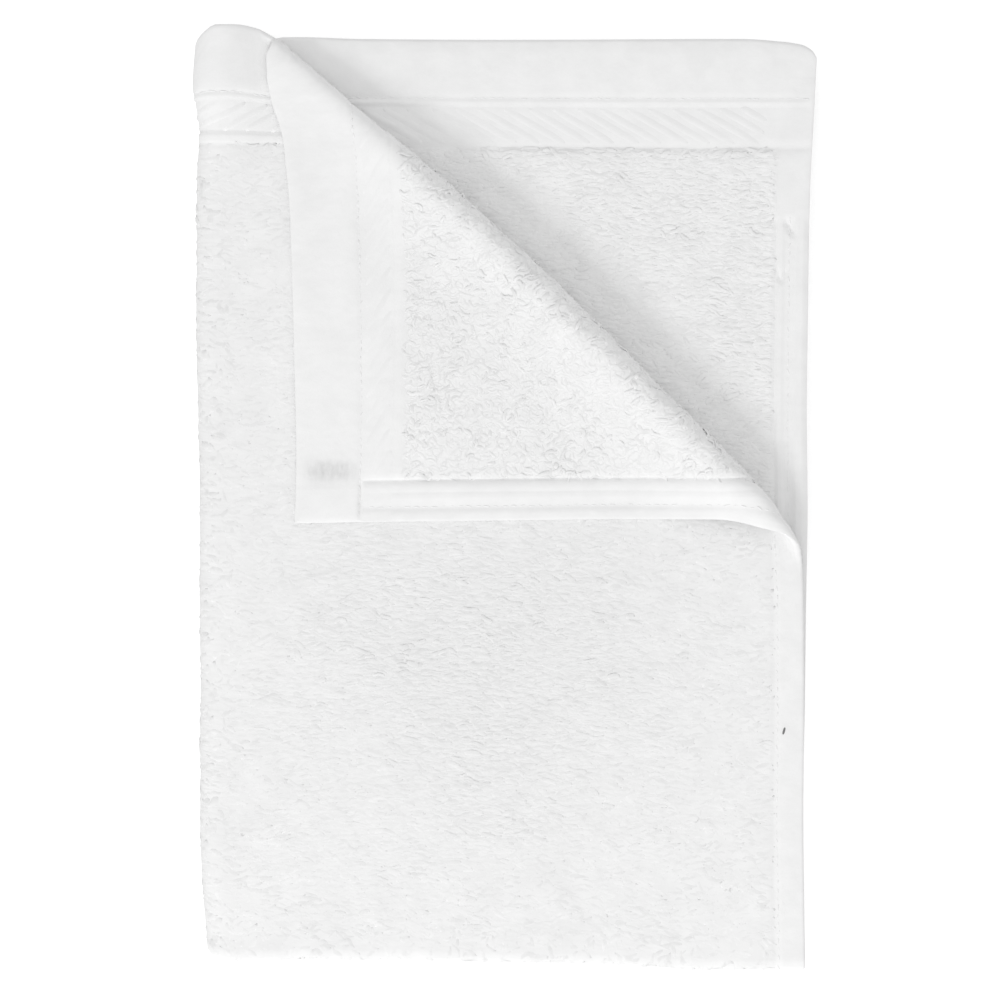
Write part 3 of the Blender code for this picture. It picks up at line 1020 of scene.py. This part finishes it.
def grey_fleck():
    """The small dark grey fleck on the front side hem."""
    share = np.linspace(-1, 1, FLECK_RINGS)[None, :]
    across = FLECK_MIDDLE[0] + FLECK_REACH[0] * share
    along = FLECK_MIDDLE[1] + FLECK_REACH[1] * share
    above = face_height(across, along, FRONT) + FLECK_ABOVE
    paths = np.stack([across, along, above], axis=-1)
    heading = np.full((1, FLECK_RINGS), FLECK_WAY)
    width = FLECK_WIDTH * (1 - FLECK_TAPER * share**4)
    thick = FLECK_THICKNESS * (1 - FLECK_TAPER * share**4)
    return lay_yarns("grey_fleck", yarn_blank("fleck_blank", 6, FLECK_RINGS), paths, heading, width, thick, FRONT)


# Materials

WOVEN = ((0.820, 0.820, 0.820, 1), (0.850, 0.850, 0.850, 1))  # darkest and lightest colours
PILE = ((0.785, 0.785, 0.785, 1), (0.840, 0.840, 0.840, 1))
BED = ((0.810, 0.810, 0.810, 1), (0.845, 0.845, 0.845, 1))
# colours of the small dark fleck on the front side hem
DARK_FLECK = ((0.10, 0.10, 0.10, 1), (0.22, 0.22, 0.22, 1))
# painted shade of the soft hollow in the turned end hem
HOLLOW_SHADE = (0.55, 0.55, 0.55, 1)
# painted shade deep in the front leaf's taller pile
PILE_SHADE = (0.74, 0.74, 0.74, 1)
PILE_SHADE_SHARE = 0.5  # of that painted shade colour, where the pile was pressed least
CLOTH_COLOUR = (0.86, 0.86, 0.86, 1)
CLOTH_ROUGHNESS = 0.92
YARN_ROUGHNESS = 0.9
THREAD_ROUGHNESS = 0.75
SHEEN = 0.1
SHEEN_ROUGHNESS = 0.6
SPECULAR = 0.2
MOTTLE_RANGE = (0.35, 0.65)  # of the noise, from the darkest colour to the lightest
RUMPLE_SCALE = 260.0
YARN_SCALES = (100.0, 2600.0)  # mottle, fibres
YARN_FIBRES = 0.000015  # high
PILE_RUMPLES = 0.0007
CLOTH_SCALES = (120.0, 2000.0)
WEAVE_HEIGHTS = (0.00006, 0.0002)  # fibres, rumples
STREAK_STRETCH = (0.4, 1.0, 1.0)
STREAK_SCALE = 700.0
STREAK_HEIGHT = 0.0008
CURL_SCALE = 330.0
CURL_TURNS = 32.0  # radians, over the whole range of the noise
CURL_HEIGHT = 0.00004


def add_node(tree, kind, **settings):
    """A shader node, with its settings."""
    node = tree.nodes.new(kind)
    for name, value in settings.items():
        setattr(node, name, value)
    return node


def attribute(tree, name):
    """A value that a mesh holds under a name."""
    return add_node(tree, "ShaderNodeAttribute", attribute_name=name).outputs["Fac"]


def multiply(tree, socket, factor):
    """A socket's value times a number or another socket's value."""
    node = add_node(tree, "ShaderNodeMath", operation="MULTIPLY")
    tree.links.new(socket, node.inputs[0])
    if isinstance(factor, float):
        node.inputs[1].default_value = factor
    else:
        tree.links.new(factor, node.inputs[1])
    return node.outputs["Value"]


def mix(tree, factor, first, second, kind="FLOAT"):
    """A mix of two values or colours, of which the second may be a plain colour."""
    node = add_node(tree, "ShaderNodeMix", data_type=kind)
    tree.links.new(factor, node.inputs["Factor"])
    tree.links.new(first, node.inputs["A"])
    if isinstance(second, tuple):
        node.inputs["B"].default_value = second
    else:
        tree.links.new(second, node.inputs["B"])
    return node.outputs["Result"]


def noise(tree, place, scale, detail):
    """Noise at a place, of a scale that is a number or a socket."""
    node = add_node(tree, "ShaderNodeTexNoise")
    node.inputs["Detail"].default_value = detail
    tree.links.new(place, node.inputs["Vector"])
    if isinstance(scale, float):
        node.inputs["Scale"].default_value = scale
    else:
        tree.links.new(scale, node.inputs["Scale"])
    return node.outputs["Fac"]


def raise_surface(tree, surface, height):
    """Bumps of a surface, from a height in metres."""
    bump = add_node(tree, "ShaderNodeBump")
    bump.inputs["Strength"].default_value = 1
    bump.inputs["Distance"].default_value = 1
    tree.links.new(height, bump.inputs["Height"])
    tree.links.new(bump.outputs["Normal"], surface.inputs["Normal"])


def plain_material(name, colour, roughness):
    """A matt cotton, and its Principled BSDF."""
    material = bpy.data.materials.new(name)
    material.use_nodes = True
    surface = material.node_tree.nodes["Principled BSDF"]
    surface.inputs["Base Color"].default_value = colour
    surface.inputs["Roughness"].default_value = roughness
    surface.inputs["Sheen Weight"].default_value = SHEEN
    surface.inputs["Sheen Roughness"].default_value = SHEEN_ROUGHNESS
    surface.inputs["Specular IOR Level"].default_value = SPECULAR
    return material, surface


def cotton_group():
    """Cotton's uneven whiteness and its fibres, from a place in metres."""
    group = bpy.data.node_groups.new("cotton", "ShaderNodeTree")
    group.interface.new_socket("Place", in_out="INPUT", socket_type="NodeSocketVector")
    for name in ("Dark", "Light"):
        group.interface.new_socket(name, in_out="INPUT", socket_type="NodeSocketColor")
    for name in ("Mottle Scale", "Fibre Scale", "Fibre Height", "Rumple Height"):
        group.interface.new_socket(name, in_out="INPUT", socket_type="NodeSocketFloat")
    group.interface.new_socket("Colour", in_out="OUTPUT", socket_type="NodeSocketColor")
    group.interface.new_socket("Height", in_out="OUTPUT", socket_type="NodeSocketFloat")
    given = add_node(group, "NodeGroupInput").outputs
    result = add_node(group, "NodeGroupOutput").inputs
    spread = add_node(group, "ShaderNodeMapRange")
    spread.inputs["From Min"].default_value = MOTTLE_RANGE[0]
    spread.inputs["From Max"].default_value = MOTTLE_RANGE[1]
    height = add_node(group, "ShaderNodeMath", operation="MULTIPLY_ADD")
    link = group.links.new
    link(noise(group, given["Place"], given["Mottle Scale"], 3), spread.inputs["Value"])
    colour = mix(group, spread.outputs["Result"], given["Dark"], given["Light"], "RGBA")
    fibres = noise(group, given["Place"], given["Fibre Scale"], 2)
    link(noise(group, given["Place"], RUMPLE_SCALE, 1), height.inputs[0])
    link(given["Rumple Height"], height.inputs[1])
    link(multiply(group, fibres, given["Fibre Height"]), height.inputs[2])
    link(colour, result["Colour"])
    link(height.outputs["Value"], result["Height"])
    return group


def use_cotton(tree, cotton, place, colours, scales, heights):
    """The cotton group in a material: scales of mottle and fibres, heights of fibres and rumples."""
    node = add_node(tree, "ShaderNodeGroup", node_tree=cotton)
    node.inputs["Dark"].default_value, node.inputs["Light"].default_value = colours
    node.inputs["Mottle Scale"].default_value, node.inputs["Fibre Scale"].default_value = scales
    node.inputs["Fibre Height"].default_value, node.inputs["Rumple Height"].default_value = heights
    tree.links.new(place, node.inputs["Place"])
    return node.outputs["Colour"], node.outputs["Height"]


def paint_pile_shade(tree, colour):
    """Painted shade: a colour made darker where the pile was pressed least and the eye looks deeper into
    it.
    """
    share = multiply(tree, attribute(tree, "unpressed"), PILE_SHADE_SHARE)
    return mix(tree, share, colour, PILE_SHADE, "RGBA")


def yarn_material(name, cotton, colours, roughness=YARN_ROUGHNESS, rumples=0.0):
    """Cotton yarn of one whiteness."""
    material, surface = plain_material(name, colours[1], roughness)
    tree = material.node_tree
    place = add_node(tree, "ShaderNodeTexCoord").outputs["Object"]
    colour, height = use_cotton(tree, cotton, place, colours, YARN_SCALES, (YARN_FIBRES, rumples))
    # painted shade where the front leaf's pile was pressed least
    tree.links.new(paint_pile_shade(tree, colour), surface.inputs["Base Color"])
    raise_surface(tree, surface, height)
    return material


def streaks_of_cloth(tree, place):
    """Noise drawn out across the towel."""
    stretch = add_node(tree, "ShaderNodeMapping")
    stretch.inputs["Scale"].default_value = STREAK_STRETCH
    tree.links.new(place, stretch.inputs["Vector"])
    return noise(tree, stretch.outputs["Vector"], STREAK_SCALE, 2)


def bed_height(tree, place, streaks):
    """The relief of the small loops under the pile: streaks, or curls where the pile is curly."""
    curls = add_node(tree, "ShaderNodeMath", operation="SINE")
    tree.links.new(multiply(tree, noise(tree, place, CURL_SCALE, 1), CURL_TURNS), curls.inputs[0])
    curl_height = multiply(tree, curls.outputs["Value"], CURL_HEIGHT)
    streak_height = multiply(tree, streaks, multiply(tree, attribute(tree, "raised"), STREAK_HEIGHT))
    return mix(tree, attribute(tree, "curly"), streak_height, curl_height)


def cloth_material(cotton):
    """The cloth: plain weave on its hems and bands, and a bed of small loops under its pile."""
    material, surface = plain_material("terry_cloth", CLOTH_COLOUR, CLOTH_ROUGHNESS)
    tree = material.node_tree
    place = add_node(tree, "ShaderNodeUVMap", uv_map="flat_towel").outputs["UV"]
    terry = attribute(tree, "terry")
    streaks = streaks_of_cloth(tree, place)
    weave, weave_height = use_cotton(tree, cotton, place, WOVEN, CLOTH_SCALES, WEAVE_HEIGHTS)
    bed, _ = use_cotton(tree, cotton, place, BED, CLOTH_SCALES, (0.0, 0.0))
    raise_surface(tree, surface, mix(tree, terry, weave_height, bed_height(tree, place, streaks)))
    # the bed under the pile gets the same painted shade
    colour = mix(tree, terry, weave, paint_pile_shade(tree, bed), "RGBA")
    # painted shade of the soft hollow in the turned end hem, broken up by the streaks
    shaded = multiply(tree, attribute(tree, "hollow_shade"), streaks)
    tree.links.new(mix(tree, shaded, colour, HOLLOW_SHADE, "RGBA"), surface.inputs["Base Color"])
    return material


def dress(piece, material):
    """Gives a piece its material, and joins it to the part."""
    piece.data.materials.append(material)
    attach(piece, "root")


# Studio

FLOOR_SIZE = 6
FLOOR_COLOUR = (0.75, 0.75, 0.75, 1)
FLOOR_GLOW = 0.5  # seen by the camera alone
WHITE = (1, 1, 1, 1)
WORLD_LIGHT = 0.84
KEY_PLACE = (-0.49, -1.52, 1.03)
KEY_SIZE = 0.5
KEY_POWER = 13.6
CAMERA_PLACE = (-0.0016, -0.0003)
CAMERA_HEIGHT = 1.40
VIEW_WIDTH = 0.3285
SENSOR_WIDTH = 36


def make_floor():
    """A plain pale floor, which the camera sees white, without its glow falling on the towel."""
    bpy.ops.object.select_all(action="DESELECT")
    bpy.ops.mesh.primitive_plane_add(size=FLOOR_SIZE)
    floor = bpy.context.object
    floor.name = "floor"
    material = bpy.data.materials.new("pale_floor")
    material.use_nodes = True
    tree = material.node_tree
    surface = tree.nodes["Principled BSDF"]
    surface.inputs["Base Color"].default_value = FLOOR_COLOUR
    surface.inputs["Roughness"].default_value = 0.9
    surface.inputs["Specular IOR Level"].default_value = 0.1
    surface.inputs["Emission Color"].default_value = WHITE
    rays = add_node(tree, "ShaderNodeLightPath")
    glow = multiply(tree, rays.outputs["Is Camera Ray"], FLOOR_GLOW)
    tree.links.new(glow, surface.inputs["Emission Strength"])
    floor.data.materials.append(material)


def place_in_scene(name, data, place):
    """A lamp or camera at a place."""
    holder = bpy.data.objects.new(name, data)
    bpy.context.scene.collection.objects.link(holder)
    holder.location = place
    return holder


def make_studio():
    """Soft light all round, a large lamp low from the bottom of the towel, and the camera above."""
    world = bpy.data.worlds.new("studio")
    world.use_nodes = True
    world.node_tree.nodes["Background"].inputs["Color"].default_value = WHITE
    world.node_tree.nodes["Background"].inputs["Strength"].default_value = WORLD_LIGHT
    bpy.context.scene.world = world
    lamp = bpy.data.lights.new("key", "AREA")
    lamp.shape = "SQUARE"
    lamp.size = KEY_SIZE
    lamp.energy = KEY_POWER
    key = place_in_scene("key", lamp, KEY_PLACE)
    key.rotation_euler = (-Vector(KEY_PLACE)).to_track_quat("-Z", "Y").to_euler()
    camera = bpy.data.cameras.new("camera")
    camera.sensor_width = SENSOR_WIDTH
    camera.lens = SENSOR_WIDTH * CAMERA_HEIGHT / VIEW_WIDTH
    camera.clip_end = 20
    bpy.context.scene.camera = place_in_scene("camera", camera, (*CAMERA_PLACE, CAMERA_HEIGHT))
    bpy.context.scene.view_settings.view_transform = "Standard"


cotton = cotton_group()
cloth = weave_cloth()
dress(cloth, cloth_material(cotton))
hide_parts("towel")
yarn = yarn_material("pile_yarn", cotton, PILE, rumples=PILE_RUMPLES)
woven = yarn_material("woven_cords", cotton, WOVEN)
thread = yarn_material("sewing_thread", cotton, WOVEN, THREAD_ROUGHNESS)
loops = strew_pile()
for piece in loops:
    dress(piece, yarn)
cords = [twill_cords("twill_front", FRONT), twill_cords("twill_back", BACK)]
for piece in cords:
    dress(piece, woven)
stitches = [hem_stitches("stitches_front", FRONT), hem_stitches("stitches_back", BACK)]
for piece in stitches:
    dress(piece, thread)
fleck = grey_fleck()
dress(fleck, yarn_material("dark_fleck_yarn", cotton, DARK_FLECK))
make_floor()
make_studio()
